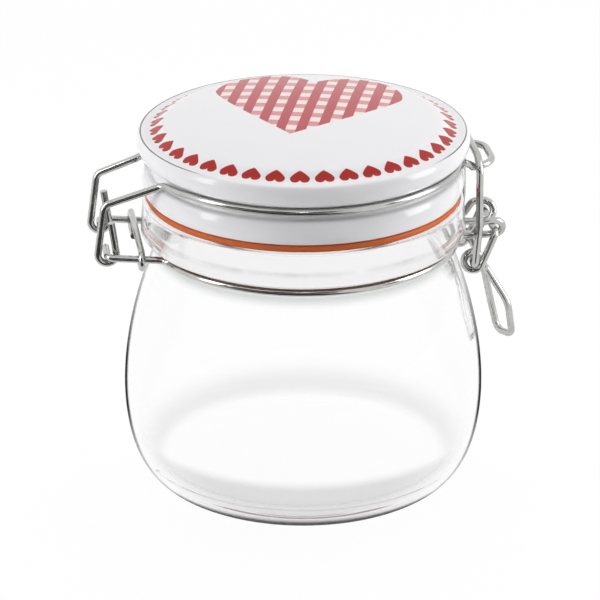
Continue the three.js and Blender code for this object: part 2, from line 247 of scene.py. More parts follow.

# Unevenness of the finishes: scales of clouds, shades, grain and bump
# Scale of the clouds in the painted reflections round the neck
STREAK_CLOUD = 70.0
GLASS_WAVE = {"Scale": 55.0}
GLASS_BUMP = {"Strength": 0.05, "Distance": 0.4 * MM}
GLAZE_CLOUD = 18.0
GLAZE_SHADE = 0.965
GLAZE_GRAIN = {"Scale": 260.0, "Low": 0.07, "High": 0.12}
GLAZE_BUMP = {"Strength": 0.06, "Distance": 0.05 * MM}
GLAZE_SPECULAR = 0.28
INK_HEIGHT = 0.4
RUBBER_CLOUD = 120.0
RUBBER_FADE = 0.86
RUBBER_DUST = 0.02
RUBBER_GRAIN = {"Scale": 900.0, "Low": 0.42, "High": 0.6}
RUBBER_BUMP = {"Strength": 0.25, "Distance": 0.1 * MM}
RUBBER_SPECULAR = 0.2
WIRE_CLOUD = 160.0
WIRE_DULL = 0.82
WIRE_GRAIN = {"Scale": 700.0, "Low": 0.10, "High": 0.24}
WIRE_BUMP = {"Strength": 0.04, "Distance": 0.06 * MM}

# Stage, in metres: lamps, and cards that the wire and the glaze mirror
STAGE_CENTRE = (0, 0, 0.07)
FLOOR_SIZE = 12
FLOOR_DROP = 0.2 * MM
FLOOR_GLOW = 0.93
FLOOR_SOFT = 0.09
AMBIENT_FRONT_Y = -0.9
LAMP_LEFT = {"place": (-0.95, -0.25, 0.35), "width": 0.25, "height": 0.7}
LAMP_RIGHT = {"place": (0.95, -0.2, 0.35), "width": 0.45, "height": 0.7}
LAMP_TOP = {"place": (0.1, 0.35, 1.1), "width": 0.9, "height": 0.7}
RIGHT_SHARE = 1.2
CARD_FRONT = {"place": (-0.15, -1.25, 0.5), "width": 1.1, "height": 0.9}
CARD_LEFT = {"place": (-0.95, -0.88, 0.25), "width": 0.9, "height": 0.9}
CARD_RIGHT = {"place": (1.1, -0.6, 0.3), "width": 0.5, "height": 0.5}
CARD_LOW = {"place": (-0.18, -0.5, 0.012), "width": 0.46, "height": 0.86, "aim": (-0.18, -0.5, 1)}
CARD_WINDOW = {"place": (-0.94, -0.25, 0.35), "width": 0.22, "height": 0.7}
CARD_SIDE = {"place": (0.94, -0.2, 0.35), "width": 0.4, "height": 0.7}
CARD_SPOT = {"place": (-0.125, -0.88, 0.52), "width": 0.1, "height": 0.04}
CARD_BLACK = (0.03, 0.03, 0.032, 1)
CARD_SHINE = 8.0
SPOT_SHINE = 20.0

# Camera of a 600 by 600 picture
CAMERA_PLACE = (-128.93 * MM, -910.40 * MM, 448.64 * MM)
CAMERA_AIM = (-0.96 * MM, 0.135 * MM, 55.5 * MM)
CAMERA_LENS = 196.14
CAMERA_NEAR = 0.01


def length(label, description, default):
    """A size in metres."""
    return FloatProperty(
        name=label, description=description, default=default, precision=5, unit="LENGTH"
    )


def colour(label, description, default):
    """A colour, in linear values."""
    return FloatVectorProperty(
        name=label, description=description, default=default, subtype="COLOR", min=0, max=1
    )


class JarGlassSettings(bpy.types.PropertyGroup):
    """Sizes and tint of the glass body."""

    body_radius: length("Body radius", "Widest radius of the body", GLASS_TOP.x)
    base_radius: length("Base radius", "Radius that the body stands on", 40 * MM)
    neck_radius: length("Neck radius", "Outer radius of the neck", 45 * MM)
    rim_height: length("Rim height", "Height of the rim's top", GLASS_TOP.z)
    body_wall: length("Body wall", "Thickness of the body's wall", 2.6 * MM)
    neck_wall: length("Neck wall", "Thickness of the neck's wall", 3.2 * MM)
    floor: length("Floor", "Thickness of the glass floor", 6.8 * MM)
    tint: colour("Tint", "Colour of the clear glass", (0.993, 0.993, 0.995))
    # Painted shade: a greyer colour shown to the camera where the glass is seen aslant
    painted_side_shade: colour("Side tint", "Colour of the glass seen aslant", (0.97, 0.97, 0.975))
    # Painted shade: the dark colour shown to the camera where the glass is seen edge on
    painted_edge_tint: colour("Edge tint", "Colour of the glass seen edge on", (0.03, 0.03, 0.032))
    foot_tint: colour("Foot tint", "Colour of the thick glass of the foot", (0.76, 0.75, 0.76))
    neck_tint: colour("Neck tint", "Colour of the glass of the neck", (0.815, 0.81, 0.82))
    # Painted reflection: soft streaks shown to the camera round the neck
    streak_painted_reflection: colour("Streak tint", "Colour of the soft streaks round the neck", (0.44, 0.43, 0.42))
    bead_tint: colour("Bead tint", "Colour of the glass under the neck wire", (0.46, 0.50, 0.47))
    # Painted reflection: the rim's colour for mirrored rays, which makes the wire mirror it dark
    rim_painted_reflection: colour("Rim tint", "Colour of the rim mirrored in the wire", (0.12, 0.12, 0.12))
    deep_tint: colour("Deep tint", "Colour of the foot seen from outside", (0.30, 0.29, 0.30))


class JarLidSettings(bpy.types.PropertyGroup):
    """Sizes and colours of the lid, its print and its seal."""

    lid_radius: length("Lid radius", "Radius of the lid's edge", LID_TOP.x)
    dome_height: length("Dome height", "Rise of the dome over the edge", LID_TOP.z - EDGE_Z)
    seal_inner: length("Seal bore", "Inner radius of the seal", 41 * MM)
    heart_width: length("Heart width", "Width of the large heart", 57.3 * MM)
    check_across: length("Check across", "Pitch of the check across the heart", 6.1 * MM)
    check_along: length("Check along", "Pitch of the check along the heart", 7.3 * MM)
    border_width: length("Border heart", "Width of each heart in the border", 5.75 * MM)
    border_count: IntProperty(
        name="Border count", description="Number of hearts in the border", default=39, min=3
    )
    glaze: colour("Glaze", "White of the glaze", (0.82, 0.81, 0.825))
    # Painted reflection: colour of the dark line along the lid's edge
    edge_reflection_grey: colour("Edge grey", "Thin glaze along the lid's edge", (0.16, 0.16, 0.165))
    check_dark: colour("Dark stripe", "Rose red of the check", (0.45, 0.035, 0.05))
    check_pale: colour("Pale stripe", "Pink of the check", (0.66, 0.25, 0.255))
    check_ground: colour("Ground", "Warm white of the check", (0.82, 0.74, 0.71))
    border_red: colour("Border red", "Red of the border's hearts", (0.385, 0.012, 0.008))
    rubber: colour("Seal colour", "Orange of the rubber", (0.62, 0.12, 0.02))


class JarWireSettings(bpy.types.PropertyGroup):
    """Stock and finish of the wire."""

    wire_radius: length("Wire radius", "Radius of the main wire", 1.1 * MM)
    clip_radius: length("Clip radius", "Radius of the clip's wire", 1.0 * MM)
    steel: colour("Steel", "Bright plating of the wire", (0.555, 0.555, 0.54))


class JarStageSettings(bpy.types.PropertyGroup):
    """Floor, backdrop and light."""

    floor_colour: colour("Floor", "Colour of the floor", (0.76, 0.76, 0.76))
    side_power: FloatProperty(
        name="Side lamps", description="Power of each side lamp", default=5.6, unit="POWER"
    )
    top_power: FloatProperty(
        name="Top lamp", description="Power of the overhead lamp", default=5.0, unit="POWER"
    )
    ambient: FloatProperty(
        name="Ambient", description="Light that comes from the back and the sides", default=0.50
    )
    ambient_front: FloatProperty(
        name="Ambient in front", description="Light that comes from the camera's side", default=0.06
    )


class JarSettings(bpy.types.PropertyGroup):
    """Everything that can be set on the jar."""

    glass: PointerProperty(type=JarGlassSettings)
    lid: PointerProperty(type=JarLidSettings)
    wire: PointerProperty(type=JarWireSettings)
    stage: PointerProperty(type=JarStageSettings)


# Shapes


def corner(x, y, z, bend=0.0):
    """A corner of a path: its place and the radius that it is bent to."""
    return Vector((x, y, z)), bend


def bent_points(corners, step):
    """Points along a path whose corners are rounded to their radii."""
    points = [corners[0][0]]
    for (before, _), (at, bend), (after, _) in zip(corners, corners[1:], corners[2:]):
        if bend == 0:
            points.append(at)
            continue
        into = (at - before).normalized()
        out = (after - at).normalized()
        turn = into.angle(out)
        side = (out - into * out.dot(into)).normalized()
        start = at - into * bend * math.tan(turn / 2)
        steps = max(1, math.ceil(turn / step))
        for k in range(steps + 1):
            swept = turn * k / steps
            points.append(start + into * bend * math.sin(swept) + side * bend * (1 - math.cos(swept)))
    points.append(corners[-1][0])
    return points


def sweep_curve(start, leave, arrive, end):
    """Corners on a smooth profile curve between two points, leaving out its first."""
    made = []
    for k in range(1, CURVE_STEPS + 1):
        t = k / CURVE_STEPS
        weights = ((1 - t) ** 3, 3 * t * (1 - t) ** 2, 3 * t * t * (1 - t), t**3)
        r, z = (sum(w * p[i] for w, p in zip(weights, (start, leave, arrive, end))) for i in (0, 1))
        made.append(corner(r, 0, z))
    return made


def mirrored(half):
    """Half a wire, completed by its mirror image across the middle plane."""
    back = [corner(at.x, -at.y, at.z, bend) for at, bend in reversed(half)]
    return half + back[1 if half[-1][0].y == 0 else 0:]


def ring_angle(radius, y, side):
    """Where a ring round the jar crosses a given y, on the hinge or the latch side."""
    return math.atan2(y, side * math.sqrt(radius * radius - y * y))


def ring_corners(radius, z, start, end, bend_start, bend_end):
    """Corners of an arc of such a ring, with a bend at each end."""
    steps = max(1, round(abs(end - start) / RING_STEP))
    made = []
    for k in range(steps + 1):
        angle = start + (end - start) * k / steps
        bend = bend_start if k == 0 else bend_end if k == steps else 0
        made.append(corner(radius * math.cos(angle), radius * math.sin(angle), z, bend))
    return made


def eye_corners(x, z, radius, start, end, y_start, y_end):
    """Points of an eye about a crosswise axis, drifting sideways as it goes round."""
    steps = math.ceil(abs(end - start) / BEND_STEP)
    made = []
    for k in range(steps + 1):
        angle = start + (end - start) * k / steps
        y = y_start + (y_end - y_start) * k / steps
        made.append(corner(x + radius * math.cos(angle), y, z + radius * math.sin(angle)))
    return made


def turned_piece(name, points):
    """A piece turned about the jar's axis from a profile, drawn out point by point and spun."""
    bpy.ops.object.select_all(action="DESELECT")
    bpy.ops.mesh.primitive_plane_add(size=SEED, location=(0, 0, 0))
    piece = bpy.context.object
    piece.name = piece.data.name = name
    bpy.ops.object.mode_set(mode="EDIT")
    bpy.ops.mesh.select_mode(type="VERT")
    bpy.ops.mesh.select_all(action="SELECT")
    bpy.ops.mesh.merge(type="CENTER")
    bpy.ops.transform.translate(value=points[0])
    for before, after in zip(points, points[1:]):
        bpy.ops.mesh.extrude_region_move(TRANSFORM_OT_translate={"value": after - before})
    bpy.ops.mesh.select_all(action="SELECT")
    bpy.ops.mesh.spin(steps=TURN_STEPS, angle=2 * math.pi, center=(0, 0, 0), axis=(0, 0, 1))
    finish_mesh()
    return piece


def bent_wire(name, corners, radius):
    """A round wire bent along corners, with its cut ends eased."""
    points = bent_points(corners, BEND_STEP)
    bpy.ops.object.select_all(action="DESELECT")
    bpy.ops.curve.primitive_nurbs_path_add(location=(0, 0, 0))
    piece = bpy.context.object
    piece.name = name
    line = piece.data
    line.splines.clear()
    run = line.splines.new("POLY")
    run.points.add(len(points) - 1)
    for place, point in zip(run.points, points):
        place.co = (*point, 1)
    line.bevel_depth = radius
    line.bevel_resolution = WIRE_ROUND
    line.use_fill_caps = True
    bpy.ops.object.convert(target="MESH")
    piece = bpy.context.object
    piece.data.name = name
    bpy.ops.object.mode_set(mode="EDIT")
    bpy.ops.mesh.select_all(action="SELECT")
    bpy.ops.mesh.remove_doubles(threshold=WELD)
    bpy.ops.mesh.select_mode(type="FACE")
    bpy.ops.mesh.select_all(action="DESELECT")
    bpy.ops.mesh.select_face_by_sides(number=4, type="GREATER")
    bpy.ops.mesh.bevel(offset=CUT_ROUND, segments=3, affect="EDGES")
    finish_mesh()
    return piece


def finish_mesh():
    """Welds the mesh in edit mode, turns its faces outwards, and leaves it smooth in object mode."""
    bpy.ops.mesh.select_all(action="SELECT")
    bpy.ops.mesh.remove_doubles(threshold=WELD)
    bpy.ops.mesh.normals_make_consistent(inside=False)
    bpy.ops.object.mode_set(mode="OBJECT")
    bpy.ops.object.shade_smooth_by_angle(angle=SMOOTH_ANGLE)


def fit_piece(piece, material, body, node):
    """Gives a piece its finish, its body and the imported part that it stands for."""
    piece.data.materials.clear()
    piece.data.materials.append(material)
    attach(piece, body)
    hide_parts(node)


# Finishes


def feed(tree, socket, value):
    """Links a value to a socket, or sets it there."""
    if isinstance(value, bpy.types.NodeSocket):
        tree.links.new(value, socket)
    else:
        socket.default_value = value


def add_node(tree, kind, values=None, **settings):
    """A node with its settings made and its inputs set or linked."""
    made = tree.nodes.new(kind)
    for key, value in settings.items():
        setattr(made, key, value)
    for key, value in (values or {}).items():
        feed(tree, made.inputs[key], value)
    return made


def calc(tree, operation, *values):
    """The result of a math node."""
    made = add_node(tree, "ShaderNodeMath", dict(enumerate(values)), operation=operation)
    return made.outputs[0]


def product(tree, first, *others):
    """Values multiplied with each other."""
    for other in others:
        first = calc(tree, "MULTIPLY", first, other)
    return first


def fade(tree, value, start, end):
    """A smooth change from nought at one value to one at another."""
    values = {"Value": value, "From Min": start, "From Max": end}
    made = add_node(tree, "ShaderNodeMapRange", values, interpolation_type="SMOOTHSTEP")
    return made.outputs["Result"]


def spread(tree, value, start, end, low, high):
    """A straight change from low at one value to high at another."""
    values = {"Value": value, "From Min": start, "From Max": end, "To Min": low, "To Max": high}
    return add_node(tree, "ShaderNodeMapRange", values).outputs["Result"]


def soft_ring(tree, height, low, middle, top):
    """One at a middle height, fading to nought at a low and a top one."""
    return product(tree, fade(tree, height, low, middle), fade(tree, height, top, middle))


def mix_colour(tree, share, first, second):
    """A colour between two, by share."""
    made = tree.nodes.new("ShaderNodeMix")
    made.data_type = "RGBA"
    sockets = {s.name: s for s in made.inputs if s.enabled}
    for key, value in {"Factor": share, "A": first, "B": second}.items():
        feed(tree, sockets[key], value)
    return next(s for s in made.outputs if s.enabled)


def new_group(name, inputs, outputs):
    """An empty node group with named sockets: the tree, its inputs and its output node."""
    tree = bpy.data.node_groups.new(name, "ShaderNodeTree")
    for label, kind, default in inputs:
        socket = tree.interface.new_socket(label, in_out="INPUT", socket_type=kind)
        socket.default_value = default
    for label, kind in outputs:
        tree.interface.new_socket(label, in_out="OUTPUT", socket_type=kind)
    given = tree.nodes.new("NodeGroupInput").outputs
    return tree, given, tree.nodes.new("NodeGroupOutput")


def use_group(tree, group, values):
    """A group placed in a material with its own values."""
    return add_node(tree, "ShaderNodeGroup", values, node_tree=group).outputs


def grain_group():
    """Fine unevenness of a surface: a value between two limits, and the height that goes with it."""
    name = "Surface grain"
    if name in bpy.data.node_groups:
        return bpy.data.node_groups[name]
    tree, given, out = new_group(
        name,
        [
            ("Scale", "NodeSocketFloat", 200.0),
            ("Low", "NodeSocketFloat", 0.1),
            ("High", "NodeSocketFloat", 0.2),
        ],
        [("Value", "NodeSocketFloat"), ("Height", "NodeSocketFloat")],
    )
    place = add_node(tree, "ShaderNodeTexCoord").outputs["Object"]
    values = {"Vector": place, "Scale": given["Scale"], "Detail": 4.0, "Roughness": 0.6}
    noise = add_node(tree, "ShaderNodeTexNoise", values).outputs["Fac"]
    tree.links.new(spread(tree, noise, 0.3, 0.7, given["Low"], given["High"]), out.inputs["Value"])
    tree.links.new(noise, out.inputs["Height"])
    return tree


def clouds(tree, scale):
    """Soft patches between nought and one."""
    return use_group(tree, grain_group(), {"Scale": scale, "Low": 0.0, "High": 1.0})["Value"]


def add_bump(tree, shader, height, bump):
    """Lets the light fall as if the surface rose by a height."""
    made = add_node(tree, "ShaderNodeBump", {"Height": height, **bump})
    tree.links.new(made.outputs["Normal"], shader.inputs["Normal"])


def rest_of_one(tree, value):
    """What a value leaves of one, and never less than nought."""
    return calc(tree, "MAXIMUM", calc(tree, "SUBTRACT", 1.0, value), 0.0)


def heart_group():
    """A heart, its point towards negative along: one inside its outline, nought outside."""
    name = "Heart outline"
    if name in bpy.data.node_groups:
        return bpy.data.node_groups[name]
    labels = ("Across", "Along", "Width", "Drop", "Rise", "Side curve", "Lobe place")
    tree, given, out = new_group(
        name, [(label, "NodeSocketFloat", 1.0) for label in labels], [("Mask", "NodeSocketFloat")]
    )
    lobe_half = calc(tree, "SUBTRACT", 1.0, given["Lobe place"])
    half = calc(tree, "MULTIPLY", given["Width"], 0.5)
    out_share = calc(tree, "DIVIDE", calc(tree, "ABSOLUTE", given["Across"]), half)
    lobe = calc(tree, "DIVIDE", calc(tree, "SUBTRACT", out_share, given["Lobe place"]), lobe_half)
    lobe_left = rest_of_one(tree, product(tree, lobe, lobe))
    top = calc(tree, "MULTIPLY", given["Rise"], calc(tree, "SQRT", lobe_left))
    side_left = rest_of_one(tree, out_share)
    low = calc(tree, "MULTIPLY", given["Drop"], calc(tree, "POWER", side_left, given["Side curve"]))
    under_top = calc(tree, "LESS_THAN", given["Along"], top)
    over_low = calc(tree, "GREATER_THAN", given["Along"], calc(tree, "MULTIPLY", low, -1.0))
    within = calc(tree, "LESS_THAN", out_share, 1.0)
    tree.links.new(product(tree, under_top, over_low, within), out.inputs["Mask"])
    return tree


def stripe(tree, place, pitch, offset):
    """One on a stripe half a pitch wide that is centred on the offset, nought between."""
    turn = calc(tree, "DIVIDE", calc(tree, "SUBTRACT", place, offset), pitch)
    part = calc(tree, "FRACT", calc(tree, "ADD", turn, 0.25))
    return calc(tree, "LESS_THAN", part, 0.5)


def new_material(name):
    """An empty material: itself, its tree, its shader and its output."""
    material = bpy.data.materials.new(name)
    material.use_nodes = True
    tree = material.node_tree
    shader = tree.nodes["Principled BSDF"]
    return material, tree, shader, tree.nodes["Material Output"]


def object_axes(tree):
    """Place on the jar, as X, Y and Z."""
    place = add_node(tree, "ShaderNodeTexCoord").outputs["Object"]
    return add_node(tree, "ShaderNodeSeparateXYZ", {0: place}).outputs


def axis_distance(tree, axes):
    """Distance from the jar's axis."""
    squares = [calc(tree, "MULTIPLY", axes[key], axes[key]) for key in ("X", "Y")]
    return calc(tree, "SQRT", calc(tree, "ADD", *squares))


def opaque(values):
    """A colour with full alpha."""
    return (*values, 1.0)


def glass_painted_edge_shade(tree, facing, height, seen):
    """Painted shade on the glass seen edge on: most at the belly, and in a line along the foot."""
    low = spread(tree, height, EDGE_FOOT_Z, EDGE_BELLY_Z, EDGE_FOOT, 1.0)
    high = spread(tree, height, EDGE_SHOULDER_Z, NECK_LOW_Z, 1.0, EDGE_NECK)
    edge = product(tree, fade(tree, facing, EDGE_FROM, EDGE_FULL), seen, low, high)
    line_height = fade(tree, height, FOOT_LINE_Z, FOOT_LINE_FULL_Z)
    line_slant = fade(tree, facing, FOOT_LINE_FROM, FOOT_LINE_FULL)
    return calc(tree, "MAXIMUM", edge, product(tree, line_height, line_slant, seen, FOOT_LINE))


def glass_tint(tree, settings, facing, axes, path):
    """Colour of the glass: clear, greyer in foot and neck, with a bead round the neck, painted
    reflections in streaks round the neck and of the rim in the wire, and painted shade where it is seen
    aslant.
    """
    height, seen = axes["Z"], path["Is Camera Ray"]
    foot_ring = fade(tree, axis_distance(tree, axes), FOOT_IN_R, FOOT_OUT_R)
    foot = product(tree, fade(tree, height, FOOT_HIGH_Z, FOOT_LOW_Z), foot_ring)
    upper_foot = product(tree, fade(tree, height, BASE_TOP_Z, BASE_FULL_Z), BASE_SHARE)
    lower_foot = product(tree, fade(tree, height, BASE_LOW_Z, FOOT_LOW_Z), 1 - BASE_SHARE)
    seen_foot = product(tree, calc(tree, "ADD", upper_foot, lower_foot), seen)
    # Painted shade: the glass is shown greyer to the camera where it is seen aslant
    aslant = product(tree, fade(tree, facing, ASLANT_FROM, ASLANT_FULL), seen)
    neck = product(tree, fade(tree, height, NECK_TINT_Z, RIM_LOW_Z), seen)
    # Painted reflection: soft grey streaks shown to the camera round the neck
    streak_ring = soft_ring(tree, height, STREAK_LOW_Z, STREAK_Z, STREAK_TOP_Z)
    streak = product(tree, streak_ring, clouds(tree, STREAK_CLOUD), seen)
    bead = product(tree, soft_ring(tree, height, BEAD_LOW_Z, BEAD_Z, BEAD_TOP_Z), seen)
    # Painted reflection: the rim is darkened for reflected rays that reach it from outside, so the wire
    # mirrors it dark
    rim = fade(tree, height, NECK_LOW_Z, RIM_LOW_Z)
    outside = calc(tree, "LESS_THAN", path["Transmission Depth"], 0.5)
    painted_rim_reflection = product(tree, rim, outside, path["Is Reflection Ray"])
    tint = opaque(settings.tint)
    for share, layer in (
        (foot, settings.foot_tint),
        (seen_foot, settings.deep_tint),
        (aslant, settings.painted_side_shade),
        (neck, settings.neck_tint),
        (streak, settings.streak_painted_reflection),
        (bead, settings.bead_tint),
        (painted_rim_reflection, settings.rim_painted_reflection),
    ):
        tint = mix_colour(tree, share, tint, opaque(layer))
    return tint


def glass_finish(settings):
    """Clear pressed glass, faintly wavy, darker where it is thick, and with painted shade where it is
    seen edge on.
    """
    material, tree, shader, output = new_material("Clear glass")
    shader.inputs["Transmission Weight"].default_value = 1.0
    shader.inputs["IOR"].default_value = GLASS_IOR
    shader.inputs["Roughness"].default_value = 0.0
    facing = add_node(tree, "ShaderNodeLayerWeight", {"Blend": 0.5}).outputs["Facing"]
    path = add_node(tree, "ShaderNodeLightPath").outputs
    axes = object_axes(tree)
    tree.links.new(glass_tint(tree, settings, facing, axes, path), shader.inputs["Base Color"])
    add_bump(tree, shader, use_group(tree, grain_group(), GLASS_WAVE)["Height"], GLASS_BUMP)
    # Painted shade: a dark matt shader mixed in for the camera where the glass is seen edge on and along
    # the foot
    edge = glass_painted_edge_shade(tree, facing, axes["Z"], path["Is Camera Ray"])
    dark = add_node(tree, "ShaderNodeBsdfDiffuse", {"Color": opaque(settings.painted_edge_tint)}).outputs["BSDF"]
    rimmed = add_node(tree, "ShaderNodeMixShader", {0: edge, 1: shader.outputs["BSDF"], 2: dark})
    clear = add_node(tree, "ShaderNodeBsdfTransparent", {"Color": opaque(settings.tint)}).outputs["BSDF"]
    spent = calc(tree, "GREATER_THAN", path["Ray Depth"], RAY_LIMIT)
    through = calc(tree, "MAXIMUM", spent, path["Is Shadow Ray"])
    mixed = add_node(tree, "ShaderNodeMixShader", {0: through, 1: rimmed.outputs["Shader"], 2: clear})
    tree.links.new(mixed.outputs["Shader"], output.inputs["Surface"])
    return material


def checked_heart(tree, settings):
    """The large heart: where it is printed, and the colours of its check."""
    place = add_node(tree, "ShaderNodeTexCoord").outputs["Object"]
    values = {"Vector": place, "Rotation": (0, 0, PRINT_TURN)}
    turned = add_node(tree, "ShaderNodeMapping", values, vector_type="POINT").outputs["Vector"]
    axes = add_node(tree, "ShaderNodeSeparateXYZ", {0: turned}).outputs
    across = calc(tree, "SUBTRACT", axes["X"], HEART_ACROSS)
    along = calc(tree, "SUBTRACT", axes["Y"], HEART_ALONG)
    values = {"Across": across, "Along": along, "Width": settings.heart_width, **HEART_FORM}
    pale_rows = stripe(tree, axes["Y"], settings.check_along, CHECK_ALONG)
    dark_rows = stripe(tree, axes["X"], settings.check_across, CHECK_ACROSS)
    check = mix_colour(tree, pale_rows, opaque(settings.check_ground), opaque(settings.check_pale))
    check = mix_colour(tree, dark_rows, check, opaque(settings.check_dark))
    return use_group(tree, heart_group(), values)["Mask"], check


def border_hearts(tree, settings, axes, radius):
    """The small hearts round the lid: where they are printed."""
    pitch = 2 * math.pi / settings.border_count
    angle = calc(tree, "SUBTRACT", calc(tree, "ARCTAN2", axes["Y"], axes["X"]), BORDER_PHASE)
    part = calc(tree, "FRACT", calc(tree, "ADD", calc(tree, "DIVIDE", angle, pitch), 0.5))
    across = calc(tree, "MULTIPLY", calc(tree, "SUBTRACT", part, 0.5), pitch * BORDER_R)
    along = calc(tree, "SUBTRACT", radius, BORDER_R)
    values = {"Across": across, "Along": along, "Width": settings.border_width, **BORDER_FORM}
    return use_group(tree, heart_group(), values)["Mask"]


def painted_edge_reflection(tree, settings, axes, radius):
    """A painted dark reflection along the lid's edge, wider towards the back."""
    width = spread(tree, axes["Y"], 0.0, EDGE_LINE_BACK, EDGE_LINE, EDGE_LINE_WIDE)
    edge_in = calc(tree, "SUBTRACT", settings.lid_radius - EDGE_IN, radius)
    near_edge = calc(tree, "LESS_THAN", edge_in, width)
    near_top = calc(tree, "GREATER_THAN", axes["Z"], EDGE_Z - EDGE_LINE)
    return product(tree, near_edge, near_top, fade(tree, axes["Y"], EDGE_LINE_FRONT, EDGE_LINE_FULL))


def glaze_finish(settings):
    """Glossy white glaze printed with a checked heart and a border of small hearts."""
    material, tree, shader, _ = new_material("Printed glaze")
    axes = object_axes(tree)
    radius = axis_distance(tree, axes)
    on_top = calc(tree, "GREATER_THAN", axes["Z"], EDGE_Z - EDGE_ROUND)
    heart, check = checked_heart(tree, settings)
    heart = product(tree, heart, on_top)
    border = product(tree, border_hearts(tree, settings, axes, radius), on_top)
    edge_reflection_mask = painted_edge_reflection(tree, settings, axes, radius)
    shade = [channel * GLAZE_SHADE for channel in settings.glaze]
    ground = mix_colour(tree, clouds(tree, GLAZE_CLOUD), opaque(settings.glaze), opaque(shade))
    # Painted reflection: the dark line along the lid's edge
    ground = mix_colour(tree, edge_reflection_mask, ground, opaque(settings.edge_reflection_grey))
    painted = mix_colour(tree, heart, ground, check)
    painted = mix_colour(tree, border, painted, opaque(settings.border_red))
    tree.links.new(painted, shader.inputs["Base Color"])
    grain = use_group(tree, grain_group(), GLAZE_GRAIN)
    tree.links.new(grain["Value"], shader.inputs["Roughness"])
    ink = calc(tree, "MULTIPLY", calc(tree, "MAXIMUM", heart, border), INK_HEIGHT)
    add_bump(tree, shader, calc(tree, "ADD", grain["Height"], ink), GLAZE_BUMP)
    shader.inputs["Specular IOR Level"].default_value = GLAZE_SPECULAR
    return material


def rubber_finish(settings):
    """Orange rubber, matt and faintly mottled."""
    material, tree, shader, _ = new_material("Seal rubber")
    dusty = [RUBBER_FADE * channel + RUBBER_DUST for channel in settings.rubber]
    tint = mix_colour(tree, clouds(tree, RUBBER_CLOUD), opaque(settings.rubber), opaque(dusty))
    tree.links.new(tint, shader.inputs["Base Color"])
    grain = use_group(tree, grain_group(), RUBBER_GRAIN)
    tree.links.new(grain["Value"], shader.inputs["Roughness"])
    add_bump(tree, shader, grain["Height"], RUBBER_BUMP)
    shader.inputs["Specular IOR Level"].default_value = RUBBER_SPECULAR
    return material


def steel_finish(settings):
    """Bright plated steel wire, with faint dull patches and fine draw marks."""
    name = "Plated wire"
    if name in bpy.data.materials:
        return bpy.data.materials[name]
    material, tree, shader, _ = new_material(name)
    shader.inputs["Metallic"].default_value = 1.0
    dull = [channel * WIRE_DULL for channel in settings.steel]
    tint = mix_colour(tree, clouds(tree, WIRE_CLOUD), opaque(settings.steel), opaque(dull))
    tree.links.new(tint, shader.inputs["Base Color"])
    grain = use_group(tree, grain_group(), WIRE_GRAIN)
    tree.links.new(grain["Value"], shader.inputs["Roughness"])
    add_bump(tree, shader, grain["Height"], WIRE_BUMP)
    return material


# Pieces


class JAR_OT_glass_body(bpy.types.Operator):
    """Turns the glass body, with its rounded base, rippled shoulder, neck groove and rim"""

    bl_idname = "jar.glass_body"
    bl_label = "Glass body"

    def execute(self, context):
        s = context.scene.jar.glass
        inner_r = s.body_radius - s.body_wall
        mouth_r = s.neck_radius - s.neck_wall
        rim_r = s.neck_radius + RIM_OVERHANG
        floor_r = s.base_radius + FLOOR_OUT
        foot = (s.base_radius, 0)
        wide = (s.body_radius, BODY_WIDE_Z)
        neck = (s.neck_radius, NECK_LOW_Z)
        inner_wide = (inner_r, BODY_WIDE_Z)
        shoulder = sweep_curve(
            wide,
            (s.body_radius, BODY_WIDE_Z + BELLY_RISE),
            (s.neck_radius + SHOULDER_OUT, NECK_LOW_Z - SHOULDER_RISE),
            neck,
        )
        for k, (at, _) in enumerate(shoulder):
            part = max(0.0, (k + 1) / CURVE_STEPS - RIPPLE_FROM) / (1 - RIPPLE_FROM)
            at.x += RIPPLE_DEPTH * math.sin(2 * math.pi * RIPPLE_COUNT * part) * math.sin(math.pi * part)
        outer = [
            corner(0, 0, 0),
            corner(foot[0], 0, 0),
            *sweep_curve(
                foot, (foot[0] + BASE_ROUND, 0), (s.body_radius, BODY_WIDE_Z - BASE_RISE), wide
            ),
            *shoulder,
            corner(s.neck_radius, 0, RIM_LOW_Z, RIM_ROUND),
            corner(rim_r, 0, RIM_LOW_Z + RIM_ROUND / 2, RIM_ROUND),
            corner(rim_r - RIM_TAPER, 0, s.rim_height, RIM_ROUND),
            corner(mouth_r, 0, s.rim_height, RIM_ROUND),
        ]
        inner = [
            corner(mouth_r, 0, NECK_LOW_Z),
            *sweep_curve(
                (mouth_r, NECK_LOW_Z),
                (mouth_r + SHOULDER_OUT, NECK_LOW_Z - SHOULDER_RISE),
                (inner_r, BODY_WIDE_Z + BELLY_RISE),
                inner_wide,
            ),
            *sweep_curve(
                inner_wide,
                (inner_r, BODY_WIDE_Z - FLOOR_RISE),
                (floor_r + FLOOR_ROUND, s.floor),
                (floor_r, s.floor),
            ),
            corner(0, 0, s.floor),
        ]
        piece = turned_piece("jar_glass", bent_points(outer + inner, PROFILE_STEP))
        fit_piece(piece, glass_finish(s), "jar", "glass_jar")
        return {"FINISHED"}


